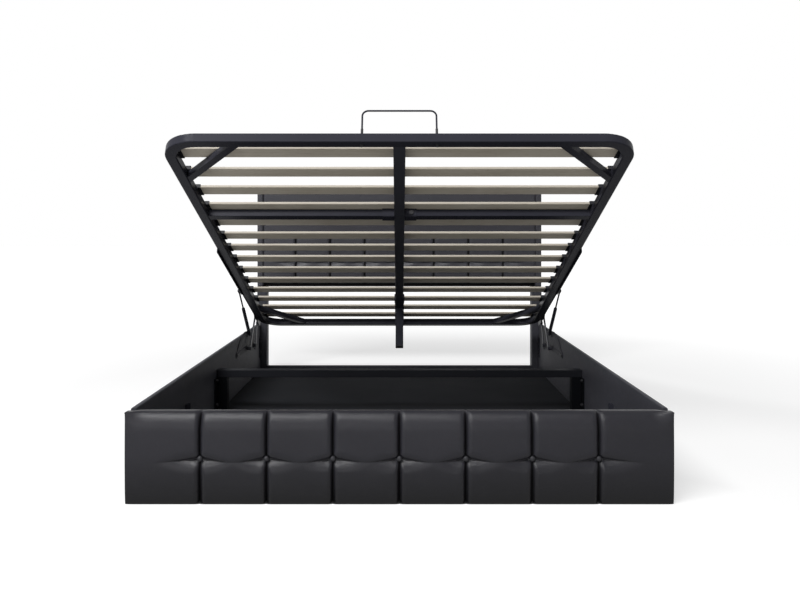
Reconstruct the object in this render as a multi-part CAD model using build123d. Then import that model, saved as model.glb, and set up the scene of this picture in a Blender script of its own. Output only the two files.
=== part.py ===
from build123d import *
import math
import os

os.makedirs("parts", exist_ok=True)

# Overall sizes of the bed, in millimetres. X runs across, Y towards the head, Z up.
bed_width = 1640
inside_length = 2065.5
footboard_thickness = 46
headboard_thickness = 70
headboard_top = 1050
headboard_bottom = 490
footboard_top = 275.5
rail_top = 280
rail_thickness = 20
ground_gap = 3
fit_gap = 0.3
cut_overrun = 5

# Lift-up platform: a bent tube ring, raised from the level by its tilt
lift_room = 25
platform_width = bed_width - 2 * (rail_thickness + lift_room)
platform_tilt = 24
tube_width = 38
tube_height = 32
tube_wall = 1.5
bend_radius = 118
tube_edge_round = 4

# Where the platform's head end stands, measured to the headboard's face and to the floor
open_head_gap = 117.6
open_head_height = 279.2
closed_head_gap = 34.5
closed_foot_gap = 9.5
closed_height = 218.5
platform_length = inside_length - closed_head_gap - closed_foot_gap

# Planes that the sizes above give
bed_length = footboard_thickness + inside_length + headboard_thickness
front_y = -bed_length / 2
footboard_back_y = front_y + footboard_thickness
headboard_face_y = footboard_back_y + inside_length
headboard_back_y = bed_length / 2
rail_inner_x = bed_width / 2 - rail_thickness
open_head_y = headboard_face_y - open_head_gap
closed_head_y = headboard_face_y - closed_head_gap
tube_inner_x = platform_width / 2 - tube_width

tilt_radians = math.radians(platform_tilt)
tilt_cos = math.cos(tilt_radians)
tilt_sin = math.sin(tilt_radians)


def save(shape, node):
    """Write one node as a group of its solids."""
    export_step(Compound(list(shape.solids())), f"parts/{node}.step")


def group(shapes):
    """Several separate solids as one shape."""
    return Compound([solid for shape in shapes for solid in shape.solids()])


def block(low_x, high_x, low_y, high_y, low_z, high_z):
    """A box between two corners."""
    middle = Pos((low_x + high_x) / 2, (low_y + high_y) / 2, (low_z + high_z) / 2)
    return middle * Box(high_x - low_x, high_y - low_y, high_z - low_z)


def mirrored(shape):
    """The same piece on the other side of the bed."""
    return mirror(shape, about=Plane.YZ)


def pair(shape):
    """A piece and its mirror image."""
    return group([shape, mirrored(shape)])


def rod_x(low_x, high_x, y, z, radius):
    """A round bar that lies along X."""
    middle = Pos((low_x + high_x) / 2, y, z)
    return middle * Rot(0, 90, 0) * Cylinder(radius, high_x - low_x)


def hex_x(low_x, high_x, y, z, across_flats):
    """A hexagon bar that lies along X."""
    outline = Plane.YZ * RegularPolygon(across_flats / 2, 6, major_radius=False)
    return Pos(low_x, y, z) * extrude(outline, amount=high_x - low_x, dir=(1, 0, 0))


def on_platform(shape):
    """Carry a piece drawn on the level platform, head end at Y zero, to the raised platform."""
    return Pos(0, open_head_y, open_head_height) * Rot(-platform_tilt, 0, 0) * shape


def open_point(from_head, height):
    """Y and Z of a platform point when the platform is raised."""
    return (open_head_y - from_head * tilt_cos + height * tilt_sin,
            open_head_height + from_head * tilt_sin + height * tilt_cos)


def closed_point(from_head, height):
    """Y and Z of a platform point when the platform is level."""
    return (closed_head_y - from_head, closed_height + height)


def fixed_pivot(from_head, height, set_back):
    """A pivot that is as far from a platform point's raised place as from its lowered place."""
    raised = open_point(from_head, height)
    lowered = closed_point(from_head, height)
    step_y = raised[0] - lowered[0]
    step_z = raised[1] - lowered[1]
    step = math.hypot(step_y, step_z)
    middle_y = (raised[0] + lowered[0]) / 2
    middle_z = (raised[1] + lowered[1]) / 2
    return (middle_y - set_back * step_z / step, middle_z + set_back * step_y / step)


# Tufted pads: foam pressed down along seams, drawn as rows of shallow arcs
seam_run = 24
seam_run_limit_share = 0.4
bend_run_share = 0.28
bend_rise_share = 0.72
button_radius = 8.5
button_height = 6
button_round = 2.5


def scallops(edges, depths, shoulder, back, to_point, along, length):
    """A bar whose front is one crowned arc between each two seams."""
    outline = []
    for start, end, start_depth, end_depth in zip(edges, edges[1:], depths, depths[1:]):
        run = min(seam_run, (end - start) * seam_run_limit_share)
        start_bend = (start + run * bend_run_share,
                      start_depth - (start_depth - shoulder) * bend_rise_share)
        end_bend = (end - run * bend_run_share,
                    end_depth - (end_depth - shoulder) * bend_rise_share)
        left = to_point(start + run, shoulder)
        right = to_point(end - run, shoulder)
        outline.append(ThreePointArc(to_point(start, start_depth), to_point(*start_bend), left))
        outline.append(ThreePointArc(left, to_point((start + end) / 2, 0), right))
        outline.append(ThreePointArc(right, to_point(*end_bend), to_point(end, end_depth)))
    outline.append(Polyline(to_point(edges[-1], depths[-1]), to_point(edges[-1], back),
                            to_point(edges[0], back), to_point(edges[0], depths[0])))
    return extrude(make_face(outline), amount=length, dir=along)


def tufted_pad(column_edges, column_depths, row_edges, row_depths, shoulder, face_y, back_depth):
    """Where a bar of columns and a bar of rows share their space, the pad is pillowed."""
    low_z = row_edges[0]
    low_x = column_edges[0]
    columns = scallops(column_edges, column_depths, shoulder, back_depth,
                       lambda u, depth: (u, face_y + depth, low_z), (0, 0, 1), row_edges[-1] - low_z)
    rows = scallops(row_edges, row_depths, shoulder, back_depth,
                    lambda u, depth: (low_x, face_y + depth, u), (1, 0, 0), column_edges[-1] - low_x)
    return columns & rows


def button_places(column_edges, row_edges):
    """Every crossing of an inner column seam and an inner row seam."""
    return [(x, z) for x in column_edges[1:-1] for z in row_edges[1:-1]]


def button(x, z, back_y):
    """A covered button, its rounded face towards the foot of the bed."""
    disc = Cylinder(button_radius, button_height)
    disc = fillet(disc.edges().group_by(Axis.Z)[-1], button_round)
    return Pos(x, back_y - button_height / 2, z) * Rot(90, 0, 0) * disc


def button_pockets(places, face_y, depth):
    """Round pits in a pad, each a little wider than its button."""
    return [Pos(x, face_y + (depth - cut_overrun) / 2, z) * Rot(90, 0, 0)
            * Cylinder(button_radius + fit_gap, depth + cut_overrun) for x, z in places]


# Footboard: a board wrapped in a tufted cover, eight columns by two rows
tuft_column = 198.8
tuft_columns = 8
footboard_board = 22
cover_wrap = 4
foot_seam_depth = 18
foot_crease_depth = 9
foot_edge_depth = 12
foot_shoulder = 3
foot_crease_height = 140


def column_edges(half_width):
    """Seams a tuft column apart about the middle, and the pad's two ends."""
    seams = [(index - tuft_columns / 2) * tuft_column for index in range(1, tuft_columns)]
    return [-half_width] + seams + [half_width]


def make_footboard():
    half_width = bed_width / 2
    edges = column_edges(half_width)
    depths = [foot_edge_depth] + [foot_seam_depth] * (tuft_columns - 1) + [foot_edge_depth]
    rows = [ground_gap, foot_crease_height, footboard_top]
    row_depths = [foot_edge_depth, foot_crease_depth, foot_edge_depth]
    cover = tufted_pad(edges, depths, rows, row_depths, foot_shoulder, front_y, footboard_thickness)
    board = block(-half_width + cover_wrap, half_width - cover_wrap,
                  footboard_back_y - footboard_board, footboard_back_y,
                  ground_gap + cover_wrap, footboard_top - cover_wrap)
    places = button_places(edges, rows)
    cover = cover - board - button_pockets(places, front_y, foot_seam_depth)
    save(cover, "footboard_cover")
    save(board, "footboard_board")
    save(group([button(x, z, front_y + foot_seam_depth) for x, z in places]), "footboard_buttons")


# Headboard: a board on two padded legs, with a plain pad over a tufted pad and two side borders
leg_width = 56
border_width = 31
border_round = 6
head_pad = 30
head_seam_depth = 14
head_crease_depth = 8
head_edge_depth = 9
head_shoulder = 3
tuft_top = 780
head_crease_height = 635
pad_round = 9
glide_radius = 12


def make_headboard():
    half_width = bed_width / 2
    pad_half = half_width - border_width
    board_y = headboard_face_y + head_pad
    board = block(-half_width, half_width, board_y, headboard_back_y, headboard_bottom, headboard_top)
    save(board, "headboard_board")

    edges = column_edges(pad_half)
    depths = [head_edge_depth] + [head_seam_depth] * (tuft_columns - 1) + [head_edge_depth]
    rows = [headboard_bottom, head_crease_height, tuft_top]
    row_depths = [head_edge_depth, head_crease_depth, head_edge_depth]
    tufted = tufted_pad(edges, depths, rows, row_depths, head_shoulder, headboard_face_y, head_pad)
    places = button_places(edges, rows)
    tufted = tufted - button_pockets(places, headboard_face_y, head_seam_depth)
    save(tufted, "headboard_tufted_pad")
    save(group([button(x, z, headboard_face_y + head_seam_depth) for x, z in places]),
         "headboard_buttons")

    upper = block(-pad_half, pad_half, headboard_face_y, board_y, tuft_top, headboard_top)
    upper = fillet(upper.faces().sort_by(Axis.Y)[0].edges(), pad_round)
    save(upper, "headboard_upper_pad")

    border = block(pad_half, half_width, headboard_face_y, board_y, headboard_bottom, headboard_top)
    border = fillet(border.faces().sort_by(Axis.Y)[0].edges(), border_round)
    save(pair(border), "headboard_borders")

    leg = block(half_width - leg_width, half_width, headboard_face_y, headboard_back_y,
                ground_gap, headboard_bottom)
    leg = fillet(leg.edges().filter_by(Axis.Z), tube_edge_round)
    save(leg, "headboard_leg_right")
    save(mirrored(leg), "headboard_leg_left")

    glide_x = half_width - leg_width / 2
    glides = []
    for y in ((front_y + footboard_back_y) / 2 + cover_wrap, (headboard_face_y + headboard_back_y) / 2):
        glides.append(Pos(glide_x, y, ground_gap / 2) * Cylinder(glide_radius, ground_gap))
    save(pair(group(glides)), "feet")


# Lift mechanism, one on each side, in the gap between the platform's tube and the side rail.
# Platform points are given by their distance from the head end and their height.
plate_thickness = 3
link_thickness = 4
link_width = 24
stud_radius = 5
running_gap = 0.05
stud_head_radius = 8
stud_head = 2

arm_from_head = 30
arm_to_head = 1120
arm_drop = 11
arm_slim_drop = 3
arm_rise = 20
arm_slim_from = 225
arm_slim_to = 550
arm_slope = 18
arm_corner = 6
arm_rivet_radius = 6
arm_rivet_head = 1.2
arm_rivet_height = 10
arm_rivet_places = (330, 480, 800, 1080)

rear_pivot_from_head = 70
rear_pivot_height = -3
rear_pivot_set_back = 110.4
front_pivot_from_head = 170
front_pivot_height = 0
front_pivot_set_back = 183.7
strut_top_from_head = 585
strut_top_height = 3.5
strut_base_gap = 386.5
strut_base_height = 271.4

plate_inner_x = rail_inner_x - plate_thickness
arm_inner_x = platform_width / 2
arm_outer_x = arm_inner_x + plate_thickness
front_link_x = arm_outer_x + fit_gap
rear_link_x = front_link_x + link_thickness + stud_head
strut_x = (arm_outer_x + plate_inner_x) / 2

rear_base = fixed_pivot(rear_pivot_from_head, rear_pivot_height, rear_pivot_set_back)
front_base = fixed_pivot(front_pivot_from_head, front_pivot_height, front_pivot_set_back)
rear_top = open_point(rear_pivot_from_head, rear_pivot_height)
front_top = open_point(front_pivot_from_head, front_pivot_height)
strut_top = open_point(strut_top_from_head, strut_top_height)
strut_base = (headboard_face_y - strut_base_gap, strut_base_height)

# Feet of the base plate, where bolts hold it to the rail
foot_half_width = 16
foot_bolt_spacing = 22
front_foot_reach = 248
front_foot_height = 203
rear_foot_reach = 63
rear_foot_height = 174
base_bar = 22
base_leg = 24
boss_radius = 15
front_foot = (strut_base[0] - front_foot_reach, front_foot_height)
rear_foot = (rear_base[0] + rear_foot_reach, rear_foot_height)

# Curve of the base plate's leg, as shares of the way from its foot to the strut's stud
leg_bend_run_share = 0.42
leg_bend_rise_share = 0.93


def in_side_plane(low_x, high_x, sketch):
    """A flat plate from an outline in Y and Z."""
    return extrude(Pos(low_x, 0, 0) * sketch, amount=high_x - low_x, dir=(1, 0, 0))


def side_disc(centre, radius):
    """A disc in the Y and Z plane."""
    return Pos(0, *centre) * (Plane.YZ * Circle(radius))


def side_bar(start, end, width):
    """A bar with round ends in the Y and Z plane."""
    angle = math.degrees(math.atan2(end[1] - start[1], end[0] - start[0]))
    middle = ((start[0] + end[0]) / 2, (start[1] + end[1]) / 2)
    slot = Plane.YZ * Rot(0, 0, angle) * SlotCenterToCenter(math.dist(start, end), width)
    return Pos(0, *middle) * slot


def foot_bolt_places():
    """Two bolts through each foot of the base plate."""
    return [(foot[0] + side * foot_bolt_spacing / 2, foot[1])
            for foot in (front_foot, rear_foot) for side in (-1, 1)]


def make_lift_bases():
    """A pressed plate: a low bar between two feet, and a leg that curves up to the strut.

    Its three studs are riveted in, and the links and the strut turn on them.
    """
    leg_bend = (front_foot[0] + (strut_base[0] - front_foot[0]) * leg_bend_run_share,
                front_foot[1] + (strut_base[1] - front_foot[1]) * leg_bend_rise_share)
    curve = ThreePointArc((0, *front_foot), (0, *leg_bend), (0, *strut_base))
    outline = Sketch() + Face(Wire([curve]).offset_2d(base_leg / 2))
    outline += side_bar(front_foot, front_base, base_bar)
    outline += side_bar(front_base, rear_base, base_bar)
    outline += side_bar(rear_base, rear_foot, base_bar)
    outline += side_disc(rear_base, boss_radius)
    outline += side_disc(front_base, boss_radius)
    outline += side_disc(strut_base, boss_radius)
    for foot in (front_foot, rear_foot):
        ends = (foot[0] - foot_bolt_spacing / 2, foot[1]), (foot[0] + foot_bolt_spacing / 2, foot[1])
        outline += side_bar(*ends, 2 * foot_half_width)
    plate = in_side_plane(plate_inner_x, rail_inner_x, outline)
    for y, z in foot_bolt_places():
        plate -= rod_x(plate_inner_x - cut_overrun, rail_inner_x + cut_overrun, y, z,
                       bolt_radius + fit_gap)
    for pivot, inner_x in ((rear_base, rear_link_x), (front_base, front_link_x)):
        plate += rod_x(inner_x - fit_gap, plate_inner_x, *pivot, stud_radius)
        plate += rod_x(inner_x - fit_gap - stud_head, inner_x - fit_gap, *pivot, stud_head_radius)
        plate += rod_x(inner_x + link_thickness + fit_gap, plate_inner_x, *pivot, stud_head_radius)
    eye_low_x = strut_x - eye_thickness / 2
    plate += rod_x(eye_low_x - fit_gap, plate_inner_x, *strut_base, eye_stud_radius)
    plate += rod_x(eye_low_x - fit_gap - stud_head, eye_low_x - fit_gap, *strut_base,
                   stud_head_radius)
    save(plate, "lift_base_right")
    save(mirrored(plate), "lift_base_left")


def make_links():
    rear = in_side_plane(rear_link_x, rear_link_x + link_thickness,
                         side_bar(rear_base, rear_top, link_width))
    for pivot in (rear_base, rear_top):
        rear -= rod_x(rear_link_x - cut_overrun, rear_link_x + link_thickness + cut_overrun,
                      *pivot, stud_radius + running_gap)
    save(rear, "rear_link_right")
    save(mirrored(rear), "rear_link_left")

    front = in_side_plane(front_link_x, front_link_x + link_thickness,
                          side_bar(front_base, front_top, link_width))
    front -= rod_x(front_link_x - cut_overrun, front_link_x + link_thickness + cut_overrun,
                   *front_base, stud_radius + running_gap)
    rivet_low_x = front_link_x + link_thickness
    front += rod_x(rivet_low_x, rivet_low_x + stud_head, *front_top, stud_head_radius)
    save(front, "front_link_right")
    save(mirrored(front), "front_link_left")


# Gas strut: a cylinder on the base plate and a rod that reaches the arm
cylinder_radius = 8.5
cylinder_bore = 7
cylinder_length = 206
cylinder_start = 14
gland_length = 6
eye_thickness = 8
eye_radius = 9
eye_stud_radius = 4
rod_radius = 4
piston_length = 10
piston_from_base = 200
rod_neck_radius = 5.5
rod_neck_length = 16


def make_gas_struts():
    """Both pieces are drawn along Z from the strut's base, then turned to lie between its ends."""
    reach_y = strut_top[0] - strut_base[0]
    reach_z = strut_top[1] - strut_base[1]
    length = math.hypot(reach_y, reach_z)
    lean = math.degrees(math.atan2(-reach_y, reach_z))
    place = Pos(strut_x, *strut_base) * Rot(lean, 0, 0)

    cylinder_end = cylinder_start + cylinder_length
    body = Pos(0, 0, cylinder_start + cylinder_length / 2) * Cylinder(cylinder_radius, cylinder_length)
    body = fillet(body.edges().filter_by(GeomType.CIRCLE), tube_wall)
    bore_length = cylinder_length - 2 * gland_length
    body -= Pos(0, 0, cylinder_start + cylinder_length / 2) * Cylinder(cylinder_bore, bore_length)
    body -= Pos(0, 0, cylinder_end) * Cylinder(rod_radius + running_gap, 2 * gland_length + cut_overrun)
    eye = rod_x(-eye_thickness / 2, eye_thickness / 2, 0, 0, eye_radius)
    eye += block(-eye_thickness / 2, eye_thickness / 2, -rod_neck_radius, rod_neck_radius,
                 0, cylinder_start + tube_wall)
    eye -= rod_x(-eye_thickness, eye_thickness, 0, 0, eye_stud_radius + running_gap)
    cylinder = place * (body + eye)
    save(cylinder, "gas_cylinder_right")
    save(mirrored(cylinder), "gas_cylinder_left")

    rod_length = length - piston_from_base
    rod = Pos(0, 0, piston_from_base + rod_length / 2) * Cylinder(rod_radius, rod_length)
    rod += Pos(0, 0, piston_from_base + piston_length / 2) \
        * Cylinder(cylinder_bore - running_gap, piston_length)
    neck_start = length - rod_neck_length
    rod += Pos(0, 0, neck_start + (length - neck_start) / 4) \
        * Cylinder(rod_neck_radius, (length - neck_start) / 2)
    rod += rod_x(-eye_thickness / 2, eye_thickness / 2, 0, length, eye_radius)
    pin_end_x = arm_outer_x + fit_gap - strut_x
    rod += rod_x(pin_end_x, eye_thickness / 2 + stud_head, 0, length, eye_stud_radius)
    rod += rod_x(eye_thickness / 2, eye_thickness / 2 + stud_head, 0, length, rod_neck_radius)
    rod = place * rod
    save(rod, "gas_rod_right")
    save(mirrored(rod), "gas_rod_left")


def make_lift_arms():
    """A long strip on the outside of the side tube, deeper at the pivots than between them."""
    points = [(-arm_from_head, arm_rise), (-arm_to_head, arm_rise),
              (-arm_to_head, -arm_drop), (-arm_slim_to - arm_slope, -arm_drop),
              (-arm_slim_to, -arm_slim_drop), (-arm_slim_from, -arm_slim_drop),
              (-arm_slim_from + arm_slope, -arm_drop), (-arm_from_head, -arm_drop)]
    outline = make_face(Polyline([(0, y, z) for y, z in points], close=True))
    arm = in_side_plane(arm_inner_x, arm_outer_x, outline)
    ends = arm.edges().filter_by(Axis.X).group_by(Axis.Y)
    arm = fillet(ends[0] + ends[-1], arm_corner)
    arm = on_platform(arm)
    save(arm, "lift_arm_right")
    save(mirrored(arm), "lift_arm_left")


# Bolts and nuts
bolt_radius = 4
bolt_in_rail = 12
bolt_head_flats = 13
bolt_head = 4.5
nut_height = 7
bolt_tip = 3


def rail_bolt(y, z, under_head_x):
    """A hexagon-head bolt from inside the bed into the rail."""
    bolt = rod_x(under_head_x, rail_inner_x + bolt_in_rail, y, z, bolt_radius)
    return bolt + hex_x(under_head_x - bolt_head, under_head_x, y, z, bolt_head_flats)


def rail_stud_and_nut(y, z, under_nut_x):
    """A bolt that comes through the rail, with its nut inside the bed."""
    bolt = rod_x(under_nut_x - nut_height - bolt_tip, rail_inner_x + bolt_in_rail, y, z, bolt_radius)
    return bolt + hex_x(under_nut_x - nut_height, under_nut_x, y, z, bolt_head_flats)


# Middle frame: a bar across the bed on two posts, each bolted to its rail by a flange
middle_frame_distance = 1012
middle_bar_depth = 47
middle_bar_low = 174
middle_bar_height = 31
post_width = 42
post_depth = 42
flange_reach = 40
post_bolt_inset = 18
post_bolt_heights = (57.5, 162.5)
floor_thickness = 12
floor_edge_gap = 0.4

middle_front_y = footboard_back_y + middle_frame_distance
middle_back_y = middle_front_y + middle_bar_depth


def box_tube(low_x, high_x, low_y, high_y, low_z, high_z, axis):
    """A box tube, open at both ends along its axis."""
    inset = [0 if name == axis else tube_wall for name in "XYZ"]
    over = [cut_overrun if name == axis else 0 for name in "XYZ"]
    outer = block(low_x, high_x, low_y, high_y, low_z, high_z)
    outer = fillet(outer.edges().filter_by({"X": Axis.X, "Y": Axis.Y, "Z": Axis.Z}[axis]), tube_wall)
    return outer - block(low_x + inset[0] - over[0], high_x - inset[0] + over[0],
                         low_y + inset[1] - over[1], high_y - inset[1] + over[1],
                         low_z + inset[2] - over[2], high_z - inset[2] + over[2])


def make_middle_frame():
    bar_half = rail_inner_x - fit_gap
    save(box_tube(-bar_half, bar_half, middle_front_y, middle_back_y,
                  middle_bar_low, middle_bar_low + middle_bar_height, "X"), "middle_bar")

    post_y = middle_front_y + (middle_bar_depth - post_depth) / 2
    post = box_tube(plate_inner_x - post_width, plate_inner_x, post_y, post_y + post_depth,
                    floor_thickness, middle_bar_low, "Z")
    post += block(plate_inner_x, rail_inner_x, middle_front_y - flange_reach, post_y + post_depth,
                  floor_thickness + post_bolt_inset, middle_bar_low - fit_gap)
    for y, z in post_bolt_places():
        post -= rod_x(plate_inner_x - cut_overrun, rail_inner_x + cut_overrun, y, z,
                      bolt_radius + fit_gap)
    save(pair(post), "middle_posts")


def post_bolt_places():
    """Two bolts through each post's flange, in front of the post."""
    return [(middle_front_y - post_bolt_inset, height) for height in post_bolt_heights]


# Brackets on the rails: a hook plate at each end of a rail, and a small cradle near the foot
hook_length = 46
hook_low = 90
hook_high = 200
hook_bolt_heights = (115, 175)
cradle_distance = 536
cradle_width = 22
cradle_depth = 14
cradle_low = 96
cradle_high = 168
cradle_slot = 10
cradle_slot_depth = 34
cradle_bolt_height = 112


def hook_bolt_places():
    """Two bolts in each hook plate."""
    return [(y, z) for y in (footboard_back_y + hook_length / 2, headboard_face_y - hook_length / 2)
            for z in hook_bolt_heights]


def make_rail_brackets():
    pieces = []
    for low_y in (footboard_back_y + fit_gap, headboard_face_y - hook_length - fit_gap):
        plate = block(plate_inner_x, rail_inner_x, low_y, low_y + hook_length, hook_low, hook_high)
        for y, z in hook_bolt_places():
            plate -= rod_x(plate_inner_x - cut_overrun, rail_inner_x + cut_overrun, y, z,
                           bolt_radius + fit_gap)
        pieces.append(plate)
    cradle_y = footboard_back_y + cradle_distance
    cradle = block(rail_inner_x - cradle_depth, rail_inner_x, cradle_y - cradle_width / 2,
                   cradle_y + cradle_width / 2, cradle_low, cradle_high)
    cradle -= block(rail_inner_x - cradle_depth - cut_overrun, plate_inner_x,
                    cradle_y - cradle_slot / 2, cradle_y + cradle_slot / 2,
                    cradle_high - cradle_slot_depth, cradle_high + cut_overrun)
    cradle -= rod_x(rail_inner_x - cradle_depth - cut_overrun, rail_inner_x + cut_overrun,
                    cradle_y, cradle_bolt_height, bolt_radius + fit_gap)
    pieces.append(cradle)
    save(pair(group(pieces)), "rail_brackets")


def make_rails():
    """Two upholstered side rails, the low rear rail, and the bolts that go into the side rails."""
    cradle = (footboard_back_y + cradle_distance, cradle_bolt_height)
    plate_bolts = foot_bolt_places() + hook_bolt_places()
    bolts = [rail_bolt(y, z, plate_inner_x) for y, z in plate_bolts]
    bolts += [rail_bolt(*cradle, rail_inner_x - cradle_depth)]
    bolts += [rail_stud_and_nut(y, z, plate_inner_x) for y, z in post_bolt_places()]
    save(pair(group(bolts)), "rail_bolts")

    rail = block(rail_inner_x, bed_width / 2, footboard_back_y, headboard_face_y, ground_gap, rail_top)
    rail = fillet(rail.edges().filter_by(Axis.Y).group_by(Axis.Z)[-1], tube_edge_round)
    for y, z in plate_bolts + [cradle] + post_bolt_places():
        rail -= rod_x(rail_inner_x - cut_overrun, rail_inner_x + bolt_in_rail, y, z, bolt_radius)
    save(rail, "side_rail_right")
    save(mirrored(rail), "side_rail_left")

    inner_leg_x = bed_width / 2 - leg_width
    rear = block(-inner_leg_x, inner_leg_x, headboard_face_y, headboard_face_y + rear_rail_thickness,
                 ground_gap, rear_rail_top)
    save(rear, "rear_rail")


rear_rail_thickness = 20
rear_rail_top = 36


def make_floor_panels():
    half_width = rail_inner_x - floor_edge_gap
    split_y = (middle_front_y + middle_back_y) / 2
    front = block(-half_width, half_width, footboard_back_y + floor_edge_gap,
                  split_y - floor_edge_gap, 0, floor_thickness)
    rear = block(-half_width, half_width, split_y, headboard_face_y - floor_edge_gap,
                 0, floor_thickness)
    save(front, "floor_panel_front")
    save(rear, "floor_panel_rear")


# Places of the slats along the platform: three pitches are short, the rest share what is left
slat_width = 59
slat_count = 14
first_slat = 65.5
last_slat_gap = 104
slat_short_pitch = 131
short_pitches = (0, 6, 7)
slat_pitches = slat_count - 1 - len(short_pitches)
slat_pitch = (platform_length - first_slat - slat_width - last_slat_gap
              - len(short_pitches) * slat_short_pitch) / slat_pitches


def slat_starts():
    """Each slat's head-side edge, measured from the platform's head end."""
    places = [first_slat]
    for index in range(slat_count - 1):
        places.append(places[-1] + (slat_short_pitch if index in short_pitches else slat_pitch))
    return places


# Platform frame, cross tube and beam
cross_width = 34
cross_height = 28
cross_low = 2
head_slat_count = 10
cross_before_slat = 15.5
cross_from_head = slat_starts()[head_slat_count] - cross_before_slat
beam_width = 40
beam_height = 30
beam_gap = 3
sleeve_wall = 3
sleeve_length = 46
sleeve_bolt_x = 46
sleeve_bolt_radius = 10
sleeve_bolt_head = 4
spigot_length = 120
brace_size = 25
brace_along_side = 268
brace_along_end = 240
brace_low = 3


def ring(inset, low, high):
    """The platform ring's outline, drawn in from its surfaces by an inset, as a solid."""
    centre = Pos(0, -platform_length / 2, low)
    outer = RectangleRounded(platform_width - 2 * inset, platform_length - 2 * inset,
                             bend_radius - inset)
    inner_inset = tube_width - inset
    inner = RectangleRounded(platform_width - 2 * inner_inset, platform_length - 2 * inner_inset,
                             bend_radius - inner_inset)
    return centre * extrude(outer - inner, amount=high - low)


def make_platform_frame():
    frame = ring(0, 0, tube_height)
    long_edges = frame.edges().group_by(Axis.Z)
    frame = fillet(long_edges[0] + long_edges[-1], tube_edge_round)
    frame -= ring(tube_wall, tube_wall, tube_height - tube_wall)
    for x in (-handle_spacing / 2, handle_spacing / 2):
        frame -= Pos(x, handle_y, tube_height / 2) * Cylinder(
            handle_wire + fit_gap, tube_height + 2 * cut_overrun)
    save(on_platform(frame), "platform_frame")

    braces = []
    for end_y, side in ((0, -1), (-platform_length, 1)):
        start = (tube_inner_x, end_y + side * brace_along_side)
        stop = (platform_width / 2 - brace_along_end, end_y + side * tube_width)
        braces.append(brace(start, stop, end_y + side * tube_width, side))
    save(on_platform(pair(group(braces))), "corner_braces")


def brace(start, stop, end_face_y, side):
    """A box tube across a corner, cut flush with the two tubes that it joins."""
    angle = math.degrees(math.atan2(stop[1] - start[1], stop[0] - start[0]))
    length = math.dist(start, stop) + 2 * brace_size
    outer = Box(length, brace_size, brace_size)
    outer -= Box(length + cut_overrun, brace_size - 2 * tube_wall, brace_size - 2 * tube_wall)
    middle = ((start[0] + stop[0]) / 2, (start[1] + stop[1]) / 2, brace_low + brace_size / 2)
    tube = Pos(*middle) * Rot(0, 0, angle) * outer
    inner_end_y = end_face_y + side * platform_length / 2
    room = block(0, tube_inner_x, min(end_face_y, inner_end_y), max(end_face_y, inner_end_y),
                 0, tube_height)
    return tube & room


def make_cross_tube_and_beam():
    foot_side = cross_from_head + cross_width
    half_beam = beam_width / 2
    tube = box_tube(half_beam + fit_gap, tube_inner_x, -foot_side, -cross_from_head,
                    cross_low, cross_low + cross_height, "X")
    save(on_platform(pair(tube)), "cross_tubes")

    grow = sleeve_wall
    sleeve = block(half_beam, half_beam + sleeve_length, -foot_side - grow, -cross_from_head + grow,
                   cross_low - grow, cross_low + cross_height + grow)
    sleeve = fillet(sleeve.edges().filter_by(Axis.X), tube_wall)
    sleeve -= block(half_beam - cut_overrun, half_beam + sleeve_length + cut_overrun,
                    -foot_side - fit_gap, -cross_from_head + fit_gap,
                    cross_low - fit_gap, cross_low + cross_height + fit_gap)
    beam_low = tube_height - beam_height
    spigot_y = -foot_side - beam_gap / 2
    inset = tube_wall + fit_gap
    spigot = block(-half_beam + inset, half_beam - inset, spigot_y - spigot_length / 2,
                   spigot_y + spigot_length / 2, beam_low + inset, tube_height - inset)
    save(on_platform(group([sleeve, mirrored(sleeve), spigot])), "cross_sleeves")

    head_half = box_tube(-half_beam, half_beam, -foot_side, -tube_width, beam_low, tube_height, "Y")
    foot_half = box_tube(-half_beam, half_beam, -platform_length + tube_width,
                         -foot_side - beam_gap, beam_low, tube_height, "Y")
    save(on_platform(head_half), "centre_beam_head")
    save(on_platform(foot_half), "centre_beam_foot")

    bolt = Pos(sleeve_bolt_x, -foot_side - grow, cross_low + cross_height / 2) * Rot(90, 0, 0) \
        * fillet((Pos(0, 0, sleeve_bolt_head / 2) * Cylinder(sleeve_bolt_radius, sleeve_bolt_head))
                 .edges().group_by(Axis.Z)[-1], tube_wall)
    rivets = [rod_x(arm_outer_x, arm_outer_x + arm_rivet_head, -place, arm_rivet_height,
                    arm_rivet_radius) for place in arm_rivet_places]
    stud = rod_x(arm_outer_x, rear_link_x + link_thickness + fit_gap,
                 -rear_pivot_from_head, rear_pivot_height, stud_radius)
    stud += rod_x(rear_link_x + link_thickness + fit_gap,
                  rear_link_x + link_thickness + fit_gap + stud_head,
                  -rear_pivot_from_head, rear_pivot_height, stud_head_radius)
    stud += rod_x(arm_outer_x, rear_link_x - fit_gap,
                  -rear_pivot_from_head, rear_pivot_height, stud_head_radius)
    save(on_platform(group([bolt, pair(group(rivets + [stud]))])), "platform_bolts")


# Centre leg under the beam, held between two cheeks of its bracket
centre_leg_from_head = 306
centre_leg_reach = 205
centre_leg_size = 40
leg_bracket_length = 46
leg_bracket_drop = 88
strap_from_head = 400
strap_length = 66
strap_wall = 5
glide_cap = 8


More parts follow.
